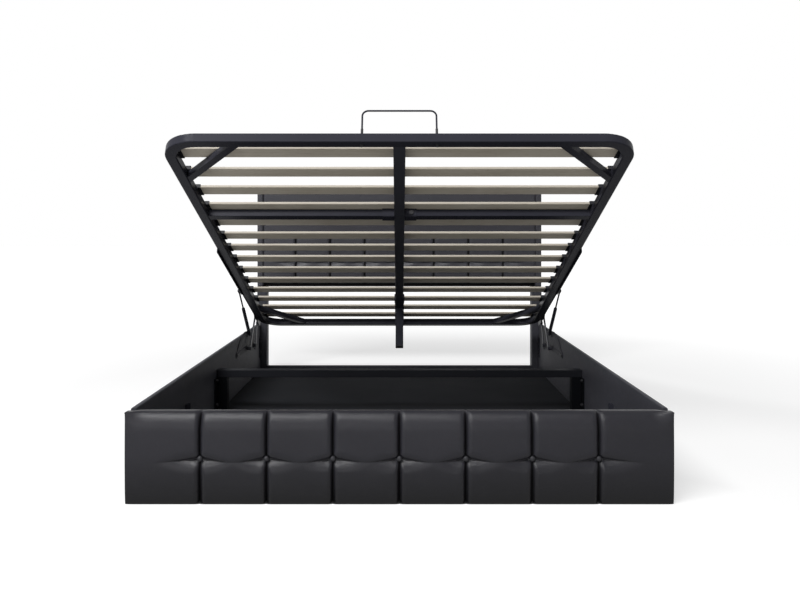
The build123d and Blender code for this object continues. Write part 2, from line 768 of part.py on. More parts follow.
def make_centre_leg():
    half_beam = beam_width / 2
    beam_low = tube_height - beam_height
    low_y = -centre_leg_from_head - leg_bracket_length / 2
    high_y = low_y + leg_bracket_length
    bracket = block(half_beam, half_beam + plate_thickness, low_y, high_y,
                    -leg_bracket_drop, tube_height - tube_edge_round)
    bracket = fillet(bracket.edges().filter_by(Axis.X).group_by(Axis.Z)[0], leg_bracket_length / 3)
    base = block(-half_beam - strap_wall, half_beam + strap_wall, -strap_from_head - strap_length,
                 -strap_from_head, beam_low - plate_thickness, tube_height - tube_edge_round)
    base -= block(-half_beam, half_beam, -strap_from_head - strap_length - cut_overrun,
                  -strap_from_head + cut_overrun, beam_low, tube_height)
    spine = block(-half_beam - plate_thickness, half_beam + plate_thickness, -strap_from_head,
                  high_y, beam_low - plate_thickness, beam_low)
    save(on_platform(bracket + mirrored(bracket) + base + spine), "leg_bracket")

    half_leg = centre_leg_size / 2 - fit_gap
    leg_y = -centre_leg_from_head
    leg = box_tube(-half_leg, half_leg, leg_y - half_leg, leg_y + half_leg,
                   -centre_leg_reach + glide_cap, beam_low - plate_thickness, "Z")
    save(on_platform(leg), "centre_leg")
    cap = block(-half_leg, half_leg, leg_y - half_leg, leg_y + half_leg,
                -centre_leg_reach, -centre_leg_reach + glide_cap)
    cap = fillet(cap.edges().group_by(Axis.Z)[0], tube_wall)
    inner = half_leg - tube_wall - fit_gap
    cap += block(-inner, inner, leg_y - inner, leg_y + inner,
                 -centre_leg_reach + glide_cap, -centre_leg_reach + 2 * glide_cap)
    save(on_platform(cap), "leg_glide")


# Slats in end holders on top of the side tubes
slat_thickness = 10
slat_edge_round = 3
holder_wall = 2.5
holder_base = 1.5
holder_length = 40
holder_outer_inset = 7
holder_stop = 8


def make_slats():
    outer_x = platform_width / 2 - holder_outer_inset
    inner_x = outer_x - holder_length
    slat_half = outer_x - holder_stop - fit_gap
    slat_low = tube_height + holder_base + fit_gap / 2
    holders = []
    for number, start in enumerate(slat_starts(), 1):
        slat = block(-slat_half, slat_half, -start - slat_width, -start,
                     slat_low, slat_low + slat_thickness)
        slat = fillet(slat.edges().filter_by(Axis.X), slat_edge_round)
        save(on_platform(slat), f"slat_{number:02d}")
        holder = block(inner_x, outer_x, -start - slat_width - holder_wall, -start + holder_wall,
                       tube_height, slat_low + slat_thickness + holder_wall)
        holder = fillet(holder.edges().group_by(Axis.Z)[-1], tube_wall)
        holder -= block(inner_x - cut_overrun, outer_x - holder_stop,
                        -start - slat_width - fit_gap, -start + fit_gap,
                        slat_low - fit_gap / 2, slat_low + slat_thickness + fit_gap)
        holders += [holder, mirrored(holder)]
    save(on_platform(group(holders)), "slat_holders")


# Handle at the foot: a bent wire through the end tube, with sleeves above and nuts below
handle_spacing = 241.5
handle_wire = 3
handle_rise = 95
handle_bend = 20
handle_tip = 9
handle_sleeve = 26
handle_sleeve_radius = 4.2
handle_nut_flats = 10
handle_nut = 5
handle_y = -platform_length + tube_width / 2


def make_handle():
    top = tube_height + handle_rise
    half = handle_spacing / 2
    path = FilletPolyline((-half, handle_y, -handle_tip), (-half, handle_y, top),
                          (half, handle_y, top), (half, handle_y, -handle_tip), radius=handle_bend)
    section = Plane(path @ 0, z_dir=path % 0) * Circle(handle_wire)
    save(on_platform(sweep(section, path=path)), "handle")

    pieces = []
    for x in (-half, half):
        sleeve = Pos(x, handle_y, tube_height + handle_sleeve / 2) \
            * Cylinder(handle_sleeve_radius, handle_sleeve)
        sleeve -= Pos(x, handle_y, tube_height + handle_sleeve / 2) \
            * Cylinder(handle_wire + running_gap, handle_sleeve + cut_overrun)
        nut = extrude(RegularPolygon(handle_nut_flats / 2, 6, major_radius=False), amount=-handle_nut)
        nut = Pos(x, handle_y, 0) * nut
        nut -= Pos(x, handle_y, -handle_nut / 2) \
            * Cylinder(handle_wire + running_gap, handle_nut + cut_overrun)
        pieces += [sleeve, nut]
    save(on_platform(group(pieces)), "handle_fittings")


make_footboard()
make_headboard()
make_rails()
make_rail_brackets()
make_floor_panels()
make_middle_frame()
make_lift_bases()
make_links()
make_gas_struts()
make_lift_arms()
make_platform_frame()
make_cross_tube_and_beam()
make_centre_leg()
make_slats()
make_handle()

print("rear link pivots", rear_base, rear_top)
print("front link pivots", front_base, front_top)
print("strut pivots", strut_base, strut_top)
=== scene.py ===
import math

import bmesh
import bpy
import numpy as np
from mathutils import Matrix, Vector


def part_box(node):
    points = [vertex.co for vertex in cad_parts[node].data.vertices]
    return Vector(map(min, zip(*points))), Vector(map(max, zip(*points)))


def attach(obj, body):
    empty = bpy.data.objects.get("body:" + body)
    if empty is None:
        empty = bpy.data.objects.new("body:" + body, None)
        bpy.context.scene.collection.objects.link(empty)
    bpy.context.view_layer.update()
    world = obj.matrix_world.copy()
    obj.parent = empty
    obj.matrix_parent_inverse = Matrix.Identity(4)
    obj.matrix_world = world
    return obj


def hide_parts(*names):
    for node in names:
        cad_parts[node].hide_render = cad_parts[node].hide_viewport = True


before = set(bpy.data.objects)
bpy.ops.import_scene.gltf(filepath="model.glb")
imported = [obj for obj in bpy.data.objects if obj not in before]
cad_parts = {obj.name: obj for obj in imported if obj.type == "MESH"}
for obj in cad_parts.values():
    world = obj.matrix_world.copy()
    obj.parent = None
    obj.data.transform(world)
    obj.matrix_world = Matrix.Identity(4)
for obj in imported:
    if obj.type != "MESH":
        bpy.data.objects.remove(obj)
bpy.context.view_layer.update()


# Room: a plain pale floor, soft studio lamps, and the camera at the foot of the bed.
# The floor and the world show white to the camera, and light the bed at a plain level.

def wire(made, inputs):
    """Gives a node's inputs their values, or links them to other nodes' outputs."""
    for key, value in inputs.items():
        if isinstance(value, bpy.types.NodeSocket):
            made.id_data.links.new(value, made.inputs[key])
        else:
            made.inputs[key].default_value = value


def node(tree, kind, inputs=None, **settings):
    """A new node in a tree. Its settings come first, because its inputs depend on them."""
    made = tree.nodes.new(kind)
    for key, value in settings.items():
        setattr(made, key, value)
    wire(made, inputs or {})
    return made


def new_material(name):
    """An empty material: itself, its tree, its shader and its object coordinates."""
    material = bpy.data.materials.new(name)
    material.use_nodes = True
    tree = material.node_tree
    tree.nodes.clear()
    shader = node(tree, "ShaderNodeBsdfPrincipled")
    node(tree, "ShaderNodeOutputMaterial", {"Surface": shader.outputs["BSDF"]})
    return material, tree, shader, node(tree, "ShaderNodeTexCoord").outputs["Object"]


def ramp(tree, value, given=(0, 1), result=(0, 1)):
    """A value carried from one range into another, and held at its ends."""
    ends = zip(("From Min", "From Max", "To Min", "To Max"), (*given, *result))
    return node(tree, "ShaderNodeMapRange", {"Value": value, **dict(ends)}).outputs[0]


def white_to_eye(tree, lit, white):
    """Shows white to camera, glossy and transmission rays, and the lit shader to all others."""
    rays = node(tree, "ShaderNodeLightPath").outputs
    bounced = node(tree, "ShaderNodeMath",
                   {0: rays["Is Glossy Ray"], 1: rays["Is Transmission Ray"]}, operation="MAXIMUM")
    seen = node(tree, "ShaderNodeMath", {0: rays["Is Camera Ray"], 1: bounced.outputs[0]},
                operation="MAXIMUM")
    return node(tree, "ShaderNodeMixShader", {0: seen.outputs[0], 1: lit, 2: white}).outputs[0]


def studio_floor():
    """Matt pale floor that keeps the bed's shadow, and shows whiter further away from it."""
    material, tree, shader, coords = new_material("studio_floor")
    wire(shader, {"Base Color": (0.40, 0.40, 0.40, 1), "Roughness": 0.9, "Specular IOR Level": 0.1})
    away = node(tree, "ShaderNodeVectorMath", {0: coords}, operation="LENGTH").outputs["Value"]
    whiteness = ramp(tree, away, given=(1.8, 4.5), result=(0.66, 1.0))
    glow = node(tree, "ShaderNodeEmission", {"Strength": whiteness})
    both = node(tree, "ShaderNodeAddShader", {0: shader.outputs[0], 1: glow.outputs[0]})
    shown = white_to_eye(tree, shader.outputs[0], both.outputs[0])
    wire(tree.nodes["Material Output"], {"Surface": shown})
    return material


floor_reach = 30.0
floor_mesh = bpy.data.meshes.new("studio_floor")
floor_mesh.from_pydata([(-floor_reach, -floor_reach, 0), (floor_reach, -floor_reach, 0),
                        (floor_reach, floor_reach, 0), (-floor_reach, floor_reach, 0)],
                       [], [(0, 1, 2, 3)])
floor_mesh.materials.append(studio_floor())
floor = bpy.data.objects.new("studio_floor", floor_mesh)
bpy.context.scene.collection.objects.link(floor)

lamps = {
    # name: place, point it faces, width, height, watts
    "key_top_left": ((-2.6, -4.6, 5.4), (0, -0.9, 0.3), 4.6, 0.8, 540),
    "strip_front_left": ((-3.2, -4.4, 2.6), (0, -1.0, 0.2), 2.4, 0.6, 40),
    "fill_front": ((-1.6, -9.0, 1.5), (0, 0, 0.6), 4.0, 1.6, 112),
}
for name, (place, target, width, height, watts) in lamps.items():
    light = bpy.data.lights.new(name, "AREA")
    light.shape = "RECTANGLE"
    light.size = width
    light.size_y = height
    light.energy = watts
    lamp = bpy.data.objects.new(name, light)
    lamp.location = place
    lamp.rotation_euler = (Vector(target) - Vector(place)).to_track_quat("-Z", "Y").to_euler()
    bpy.context.scene.collection.objects.link(lamp)

world = bpy.data.worlds.new("white_room")
bpy.context.scene.world = world
world.use_nodes = True
sky = world.node_tree
sky.nodes.clear()
soft_light = node(sky, "ShaderNodeBackground", {"Color": (0.96, 0.98, 1.0, 1), "Strength": 0.10})
plain_white = node(sky, "ShaderNodeBackground", {"Color": (1, 1, 1, 1), "Strength": 1.0})
node(sky, "ShaderNodeOutputWorld",
     {"Surface": white_to_eye(sky, soft_light.outputs[0], plain_white.outputs[0])})

camera_data = bpy.data.cameras.new("camera")
camera_data.sensor_width = 36
camera_data.lens = 34.2
camera_data.shift_x = 0.00075
camera_data.shift_y = -0.0891
camera_data.clip_end = 100
camera = bpy.data.objects.new("camera", camera_data)
camera.location = (0, -3.35875, 0.8246)
camera.rotation_euler = (math.radians(90), 0, 0)
bpy.context.scene.collection.objects.link(camera)
bpy.context.scene.camera = camera
bpy.context.scene.view_settings.view_transform = "Standard"


# Footboard: a board under foam, wrapped in black leather and pulled back along seven
# seams, with a covered button on each. Sewn shut behind, and bolted between the side rails.

def mix(tree, share, low, high, blend="MIX"):
    """One colour passing into another by a share. Each is a shade or another node's output."""
    low, high = ((*part, 1) if isinstance(part, tuple) else part for part in (low, high))
    return node(tree, "ShaderNodeMix", {0: share, 6: low, 7: high}, data_type="RGBA",
                blend_type=blend).outputs[2]


def shaded(shade, by):
    """A shade made darker or lighter."""
    return tuple(part * by for part in shade)


def dimmed(tree, colour, by):
    """A node's colour, made darker by a share that differs from place to place."""
    return node(tree, "ShaderNodeVectorMath", {0: colour, "Scale": by}, operation="SCALE").outputs[0]


def noise(tree, coords, scale, detail, distortion=0.0, output="Fac"):
    """Soft random spots. The larger the scale, the smaller they are."""
    return node(tree, "ShaderNodeTexNoise", {"Vector": coords, "Scale": scale, "Detail": detail,
                                             "Distortion": distortion}).outputs[output]


def relief(tree, height, strength, distance, under=None):
    """Fine unevenness of a surface, laid over a coarser one where there is one."""
    coarser = {"Normal": under} if under else {}
    return node(tree, "ShaderNodeBump", {"Height": height, "Strength": strength,
                                         "Distance": distance, **coarser}).outputs[0]


def leather(name, shade, roughness, wrinkle, painted_foot_shade=None):
    """Pebbled upholstery leather: small cells in the grain, faint folds, uneven polish.

    It is painted darker down in a seam and on the lip over a crease, as painted shade, and made
    duller there, by an attribute of the mesh.
    painted_foot_shade: height up to which painted shade makes it darker towards the floor.
    """
    material, tree, shader, coords = new_material(name)
    patches = noise(tree, coords, scale=3.5, detail=3.0)
    folds = noise(tree, coords, scale=38.0, detail=3.0, distortion=0.1)
    fine = noise(tree, coords, scale=1500.0, detail=2.0)
    pores = node(tree, "ShaderNodeTexVoronoi", {"Vector": coords, "Scale": 640.0},
                 feature="DISTANCE_TO_EDGE")
    cell = ramp(tree, pores.outputs["Distance"], given=(0, 0.22))
    uneven = ramp(tree, patches, given=(0.3, 0.7))
    tone = mix(tree, uneven, shaded(shade, 0.86), shaded(shade, 1.14))
    grain = mix(tree, cell, shaded(shade, 0.6), tone)
    low = relief(tree, folds, strength=wrinkle, distance=0.0016)
    middle = relief(tree, cell, strength=0.35, distance=0.00035, under=low)
    high = relief(tree, fine, strength=0.2, distance=0.0001, under=middle)
    # painted shade: the colour is darkened in seams and on crease lips, by the mesh's attribute
    hidden = node(tree, "ShaderNodeAttribute", attribute_name="hidden").outputs["Fac"]
    shown = dimmed(tree, grain, ramp(tree, hidden, result=(1.0, 0.03)))
    # painted shade: the colour grows darker towards the floor, below the given height
    if painted_foot_shade:
        place = node(tree, "ShaderNodeSeparateXYZ", {"Vector": coords})
        height = ramp(tree, place.outputs["Z"], given=(0, painted_foot_shade), result=(0.15, 1))
        shown = dimmed(tree, shown, height)
    polish = ramp(tree, folds, result=(roughness - 0.05, roughness + 0.07))
    seam_dullness = 0.6
    dull = node(tree, "ShaderNodeMath", {0: hidden, 1: seam_dullness, 2: polish},
                operation="MULTIPLY_ADD")
    wire(shader, {"Base Color": shown, "Roughness": dull.outputs[0], "Normal": high,
                  "Specular IOR Level": 0.20})
    return material


X, Y, Z = range(3)


def room_of(node_name, lower=(0, 0, 0), upper=(0, 0, 0)):
    """A CAD node's lowest and highest corners, each moved a little."""
    low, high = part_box(node_name)
    return np.array(low) + lower, np.array(high) + upper


def outline(depth, height, corners, step, fold):
    """A board's cross-section: points and outward directions, from the front's foot upwards.

    corners: depth and height of the round at front foot, front top, back top, back foot.
    step: distance between points on the front. The other sides have fewer.
    fold: height of a crease in the front, where a row of points has to lie.
    """
    (d0, h0), (d1, h1), (d2, h2), (d3, h3) = corners
    edge_step, back_step = step * 2, step * 5
    fewest_points, points_per_metre = 4, 400
    points = []

    def run(start, end, normal, spacing):
        count = max(1, round(math.dist(start, end) / spacing))
        for i in range(count):
            t = i / count
            points.append((start[0] + (end[0] - start[0]) * t, start[1] + (end[1] - start[1]) * t,
                           *normal))

    def turn(centre, reach, first):
        count = max(fewest_points, round(points_per_metre * max(reach)))
        for i in range(count):
            angle = math.radians(first + 90 * i / count)
            # the angle runs from facing the front, over the top, to facing the back
            out_a, out_b = -math.cos(angle), math.sin(angle)
            facing = Vector((out_a / reach[0], out_b / reach[1])).normalized()
            points.append((centre[0] + reach[0] * out_a, centre[1] + reach[1] * out_b, *facing))

    run((0, h0), (0, fold), (-1, 0), step)
    run((0, fold), (0, height - h1), (-1, 0), step)
    turn((d1, height - h1), (d1, h1), 0)
    run((d1, height), (depth - d2, height), (0, 1), edge_step)
    turn((depth - d2, height - h2), (d2, h2), 90)
    run((depth, height - h2), (depth, h3), (1, 0), back_step)
    turn((depth - d3, h3), (d3, h3), 180)
    run((depth - d3, 0), (d0, 0), (0, -1), edge_step)
    turn((d0, h0), (d0, h0), 270)
    return np.array(points)


def solid(name, points, faces, finish):
    """A smooth closed mesh from points and faces, its normals outward."""
    mesh = bpy.data.meshes.new(name)
    mesh.from_pydata(points, [], faces)
    work = bmesh.new()
    work.from_mesh(mesh)
    bmesh.ops.recalc_face_normals(work, faces=work.faces)
    work.to_mesh(mesh)
    work.free()
    mesh.materials.append(finish)
    mesh.polygons.foreach_set("use_smooth", [True] * len(mesh.polygons))
    made = bpy.data.objects.new(name, mesh)
    bpy.context.scene.collection.objects.link(made)
    return made


def padded_board(name, low, high, along, front, corners, end_round, stops, step, finish,
                 press=None, fold=None):
    """A closed padded skin that fills the box from low to high.

    along: axis of its length. front: axis and side that its face looks to.
    corners, step, fold: as in outline. end_round: radius of the round at its two ends.
    stops: places along the length that have a cross-section of their own.
    press(u, a, b, na, nb) gives, at length u, depth a and height b, how far the foam is pressed
    in along its own direction na, nb, how far it falls back, how far the leather sags, and how
    much painted shade darkens the leather there.
    """
    deep, side = front
    up = 3 - along - deep
    length, depth, height = (high - low)[[along, deep, up]]
    ring = outline(depth, height, corners, step, fold or height / 2)
    # each cross-section: its place along the length, and how far it is drawn in
    turn = [math.radians(angle) for angle in (90, 75, 60, 40, 20, 0)]
    start = [(end_round * (1 - math.sin(angle)), end_round * (1 - math.cos(angle)))
             for angle in turn]
    # the flat end face is drawn in a little more than the round that leads to it
    end_face = end_round + 0.003
    sections = [(0.0, end_face)] + start
    sections += [(u, 0.0) for u in stops if end_round < u < length - end_round]
    sections += [(length - u, drawn) for u, drawn in reversed(start)] + [(length, end_face)]
    u, drawn = np.array(sections).T[:, :, None]
    a, b, na, nb = ring.T[:, None, :]
    # an end is drawn in fully in depth, and only partly in height
    height_share = 0.3
    in_a = a + (1 - 2 * a / depth) * drawn
    in_b = b + (1 - 2 * b / height) * drawn * height_share
    if press:
        pressed, fallen, sagged, hidden = press(*np.broadcast_arrays(u, a, b, na, nb))
        pressed = pressed * np.clip(1 - drawn / end_round, 0, 1)
        in_a = in_a - na * pressed + fallen
        in_b = in_b - nb * pressed - sagged * np.clip(-na, 0, 1)
    place = np.zeros(in_a.shape + (3,))
    place[..., along] = low[along] + u
    place[..., deep] = low[deep] + in_a if side < 0 else high[deep] - in_a
    place[..., up] = low[up] + in_b
    index = np.arange(in_a.size).reshape(in_a.shape)
    following = np.roll(index, -1, axis=1)
    quads = np.stack([index[:-1], following[:-1], following[1:], index[1:]], axis=-1).reshape(-1, 4)
    faces = quads.tolist() + [index[0].tolist(), index[-1].tolist()]
    board = solid(name, place.reshape(-1, 3).tolist(), faces, finish)
    if press:
        # the painted shade of the seams and creases goes with the mesh, for its material
        painted_shade_layer = board.data.attributes.new("hidden", "FLOAT", "POINT")
        painted_shade_layer.data.foreach_set("value", hidden.ravel())
    return board


def seam_places(length):
    """Places of the seams along a tufted pad, evenly spaced about its middle."""
    columns, pitch = 8, 0.1995
    return [length / 2 + (i - columns / 2) * pitch for i in range(1, columns)]


def column_stops(seams, length):
    """Places of cross-sections along a tufted pad, close together at the seams."""
    edges = [0.0] + list(seams) + [length]
    by_seam = [0.0, 0.0005, 0.0013, 0.0024, 0.0038, 0.0056, 0.0078, 0.0104, 0.0134, 0.0170, 0.0212,
               0.026, 0.032]
    wide_steps = 10
    stops = []
    for left, right in zip(edges, edges[1:]):
        middle = right - left - 2 * by_seam[-1]
        stops += [left + away for away in by_seam]
        stops += [left + by_seam[-1] + middle * i / wide_steps for i in range(1, wide_steps)]
        stops += [right - away for away in reversed(by_seam[1:])]
    return stops + [length]


def limited(value):
    """A number held between 0 and 1."""
    return np.clip(value, 0, 1)


def eased(value):
    """From 0 to 1, level at both ends."""
    value = limited(value)
    return value * value * (3 - 2 * value)


def scooped(value):
    """A quarter of an ellipse: 1 in the fold, level where it ends."""
    return 1 - np.sqrt(limited(1 - limited(1 - value) ** 2))


def tufting(seams, size, button_height, seam_depth, crease_depth, button_depth, edge_share):
    """How the leather is pulled in: along each seam, at each button and in the creases.

    size: the pad's length, depth and height.
    edge_share: how much of a seam's depth is left where it turns over the pad's edge.
    """
    length, depth, height = size
    edges = np.array([0.0] + list(seams) + [length])
    seam_reach = 0.019
    # a crease runs from button to button, and hangs lower between them
    end_crease = 0.125
    over_crease, under_crease = 0.031, 0.042
    faint_crease = 0.0015
    narrowest, full_strength = 0.45, 0.6
    crease_sag, sag_reach = 0.009, 0.055
    # leather lies flat round a button, then slopes up
    button_flat, button_slope = 0.005, 0.009
    # the pad falls back towards its edges and ends, and does so less and less behind its face
    row_crown, end_crown, end_reach, fade_depth = 0.003, 0.002, 0.03, 0.75 * depth
    # at the board's corners the foam is thin, so the round over its top edge is small there
    corner_reach, front_squared, back_squared = 0.055, 0.85, 2.4
    # how far from a seam the painted shade reaches
    seam_shade_reach = 0.0062
    ripple_height, ripples, ripple_rates, any_phase = 0.00025, 6, (14, 32), (0, 6.28)
    rng = np.random.default_rng(7)
    waves = [(rng.uniform(*ripple_rates), rng.uniform(*ripple_rates), rng.uniform(*any_phase))
             for i in range(ripples)]

    def press(u, a, b, na, nb):
        column = np.clip(np.searchsorted(edges, u, side="right") - 1, 0, len(edges) - 2)
        left, right = edges[column], edges[column + 1]
        first, last = column == 0, column == len(edges) - 2
        end = first | last
        across = limited((u - left) / (right - left))
        # distance to the nearest seam; an end column has only one
        reach = np.minimum(np.where(first, np.inf, u - left), np.where(last, np.inf, right - u))
        reach = np.clip(reach, 0, None)
        strength = np.where(end, limited(1 - reach / end_crease), np.abs(1 - 2 * across))
        sag = crease_sag * np.where(end, limited(reach / end_crease) ** 0.6,
                                    np.sin(np.pi * across) ** 0.8)
        follow = eased(1 - np.abs(b - button_height) / sag_reach)
        above = b - button_height + sag * (1 - follow)
        width = narrowest + (1 - narrowest) * limited(strength / full_strength)
        fold = crease_depth * strength ** 1.2 + faint_crease * np.where(end, strength, 1)
        over = scooped(above / (over_crease * width))
        under = limited(1 + above / (under_crease * width)) ** 2
        crease = fold * np.where(above > 0, over, under)
        seam = seam_depth * scooped(reach / seam_reach)
        # a seam and a crease that meet run into each other, and the button holds both down
        pulled = np.hypot(seam, crease)
        from_button = np.hypot(reach, b - button_height)
        held = 1 - eased((from_button - button_flat) / button_slope)
        pulled = pulled + (button_depth - pulled) * held
        facing = limited(-na)
        turned = limited(facing + np.abs(nb) * edge_share)
        ripple = sum(np.sin(u * f + b * g + p) for f, g, p in waves) * ripple_height
        pressed = np.clip(pulled * turned + ripple * facing, 0, None) * (1 - limited(na))
        rise = (b - button_height) / np.where(b > button_height, height - button_height,
                                              button_height)
        from_end = np.minimum(u, length - u)
        fallen = row_crown * rise ** 2 + end_crown * (1 - limited(from_end / end_reach)) ** 2
        fallen = fallen * limited(1 - a / fade_depth)
        square = np.minimum(front_squared * a, back_squared * (depth - a))
        square = np.clip(square, 0, None) * (b > height / 2)
        fallen = fallen - square * (1 - eased(from_end / corner_reach))
        # painted shade: the leather is painted darker close to a seam, and on the lip that hangs
        # over a crease, where shade falls
        lip = np.where(above > 0, crease / crease_depth, 0) ** 1.5
        hidden = np.maximum(limited(1 - reach / seam_shade_reach), lip) * turned
        return pressed, fallen, sag * follow, hidden

    return press


# Lit and shaded copies of one black leather: the copy for the headboard and rear rail is painted
# lighter, and the footboard's copy is painted darker, for the light that falls on each.
black_leather = leather("black_leather", (0.044, 0.0435, 0.053), roughness=0.29, wrinkle=0.03)
footboard_leather_shaded_copy = leather("footboard_leather", (0.0175, 0.0171, 0.0225), roughness=0.21,
                      wrinkle=0.03, painted_foot_shade=0.15)
skin_wider, skin_lower = 0.002, 0.003
foot_low, foot_high = room_of("footboard_cover", (-skin_wider, 0, -skin_lower), (skin_wider, 0, 0))
foot_size = foot_high - foot_low
foot_seams = seam_places(foot_size[X])
foot_button_height = 0.135
footboard = padded_board(
    "footboard_leather", foot_low, foot_high, along=X, front=(Y, -1),
    corners=((0.003, 0.030), (0.034, 0.060), (0.007, 0.007), (0.004, 0.004)), end_round=0.003,
    stops=column_stops(foot_seams, foot_size[X]), step=0.0022, finish=footboard_leather_shaded_copy,
    press=tufting(foot_seams, foot_size, foot_button_height, seam_depth=0.021,
                  crease_depth=0.023, button_depth=0.017, edge_share=0.10),
    fold=foot_button_height)
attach(footboard, "root")
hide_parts("footboard_cover", "footboard_board")


# Buttons of the footboard: steel shells in scraps of the same leather, tied through the foam.
# They are all alike, so one dome is set on every crossing of a seam and the crease.

def domes_on_points(finish):
    """A node tree that sets a dome facing the foot on each point, and its two size inputs."""
    tree = bpy.data.node_groups.new("domes_on_points", "GeometryNodeTree")
    socket = tree.interface.new_socket
    socket(name="Geometry", in_out="INPUT", socket_type="NodeSocketGeometry")
    sizes = [socket(name=label, in_out="INPUT", socket_type="NodeSocketFloat").identifier
             for label in ("Diameter", "Rise")]
    socket(name="Geometry", in_out="OUTPUT", socket_type="NodeSocketGeometry")
    given = node(tree, "NodeGroupInput").outputs
    ball = node(tree, "GeometryNodeMeshUVSphere", {"Segments": 24, "Rings": 12, "Radius": 0.5})
    smooth = node(tree, "GeometryNodeSetShadeSmooth", {"Geometry": ball.outputs["Mesh"]})
    thickness = node(tree, "ShaderNodeMath", {0: given["Rise"], 1: 2.0}, operation="MULTIPLY")
    flattened = node(tree, "ShaderNodeCombineXYZ", {"X": given["Diameter"], "Y": given["Diameter"],
                                                    "Z": thickness.outputs[0]})
    dome = node(tree, "GeometryNodeTransform",
                {"Geometry": smooth.outputs[0], "Scale": flattened.outputs[0],
                 "Rotation": (math.radians(90), 0, 0)})
    domes = node(tree, "GeometryNodeInstanceOnPoints",
                 {"Points": given["Geometry"], "Instance": dome.outputs[0]})
    real = node(tree, "GeometryNodeRealizeInstances", {"Geometry": domes.outputs[0]})
    finished = node(tree, "GeometryNodeSetMaterial",
                    {"Geometry": real.outputs[0], "Material": finish})
    node(tree, "NodeGroupOutput", {"Geometry": finished.outputs[0]})
    return tree, sizes


button_leather = leather("button_leather", (0.026, 0.026, 0.030), roughness=0.34, wrinkle=0.05)
button_tree, button_sizes = domes_on_points(button_leather)


def button_row(name, pad_low, seams, inset, height, diameter, rise):
    """A button on every seam of a pad, as a plain mesh. pad_low: the pad's lowest corner."""
    points = [(pad_low[X] + seam, pad_low[Y] + inset, pad_low[Z] + height) for seam in seams]
    seed = bpy.data.meshes.new(name + "_points")
    seed.from_pydata(points, [], [])
    row = bpy.data.objects.new(name, seed)
    bpy.context.scene.collection.objects.link(row)
    modifier = row.modifiers.new("buttons", "NODES")
    modifier.node_group = button_tree
    for identifier, value in zip(button_sizes, (diameter, rise)):
        modifier[identifier] = value
    graph = bpy.context.evaluated_depsgraph_get()
    mesh = bpy.data.meshes.new_from_object(row.evaluated_get(graph), depsgraph=graph)
    row.modifiers.remove(modifier)
    row.data = mesh
    return row


foot_buttons = button_row("footboard_buttons_leather", foot_low, foot_seams, inset=0.0115,
                          height=foot_button_height, diameter=0.017, rise=0.006)
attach(foot_buttons, "root")
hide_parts("footboard_buttons")


# Side rails: long boards in a thin layer of foam and a duller leather, rounded on top.
# They hang in the footboard and in the headboard's legs by hook plates.

def even_stops(length, count):
    """Places that divide a length evenly."""
    return [i * length / count for i in range(1, count)]


def soft_edges(amount, depth, height):
    """Thin foam that is drawn in a little towards its upper and lower edges."""
    fade_depth = 0.75 * depth

    def press(u, a, b, na, nb):
        none = np.zeros(u.shape)
        fallen = amount * np.abs(b / height * 2 - 1) ** 3 * limited(1 - a / fade_depth)
        return none, fallen, none, none

    return press


rail_leather = leather("rail_leather", (0.040, 0.0405, 0.050), roughness=0.62, wrinkle=0.06)
for side, sign in (("left", -1), ("right", 1)):
    low, high = room_of(f"side_rail_{side}")
    thickness, length, height = high - low
    rail = padded_board(
        f"side_rail_leather_{side}", low, high, along=Y, front=(X, sign),
        corners=((0.004, 0.006), (0.007, 0.009), (0.004, 0.005), (0.003, 0.003)), end_round=0.002,
        stops=even_stops(length, count=60), step=0.008, finish=rail_leather,
        press=soft_edges(0.0015, thickness, height))
    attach(rail, "root")
    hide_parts(f"side_rail_{side}")


# Headboard's back: the board that carries the pads, its edges wrapped in leather and both its
# faces closed with black lining cloth, tacked on. It is bolted on two legs.

def lining_cloth():
    """Thin black spun cloth with a pressed dot pattern. Its colour is partly the cloth's own black
    and partly painted shade: it is kept very dark so that the strip under the lower pad reads as
    shade.
    """
    material, tree, shader, coords = new_material("lining_cloth")
    dots = node(tree, "ShaderNodeTexVoronoi", {"Vector": coords, "Scale": 520.0, "Randomness": 0.15})
    fibres = noise(tree, coords, scale=420.0, detail=5.0, distortion=1.5)
    embossed = relief(tree, dots.outputs["Distance"], strength=0.35, distance=0.0003)
    wire(shader, {"Base Color": mix(tree, fibres, (0.007, 0.007, 0.0078), (0.019, 0.019, 0.021)),
                  "Normal": embossed, "Roughness": 0.92, "Specular IOR Level": 0.06})
    return material


back_low, back_high = room_of("headboard_board")
back_board = padded_board(
    "headboard_back", back_low, back_high, along=X, front=(Y, 1),
    corners=((0.003, 0.003), (0.004, 0.004), (0.002, 0.002), (0.002, 0.002)), end_round=0.003,
    stops=even_stops(back_high[X] - back_low[X], count=40), step=0.02, finish=black_leather)
back_board.data.materials.append(lining_cloth())
leather_margin, squarely = 0.014, 0.9
for face in back_board.data.polygons:
    inside = all(back_low[axis] + leather_margin < face.center[axis]
                 < back_high[axis] - leather_margin for axis in (X, Z))
    if face.normal[Y] < -squarely or (face.normal[Y] > squarely and inside):
        face.material_index = 1
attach(back_board, "root")
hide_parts("headboard_board")


# Headboard's lower pad: foam on a thin board, covered and tufted as the footboard is, and
# # screwed to the back. It ends a little above the board's edge, so that the board's dark lining
# # shows below it as a strip that stands in for painted shade under the pad.

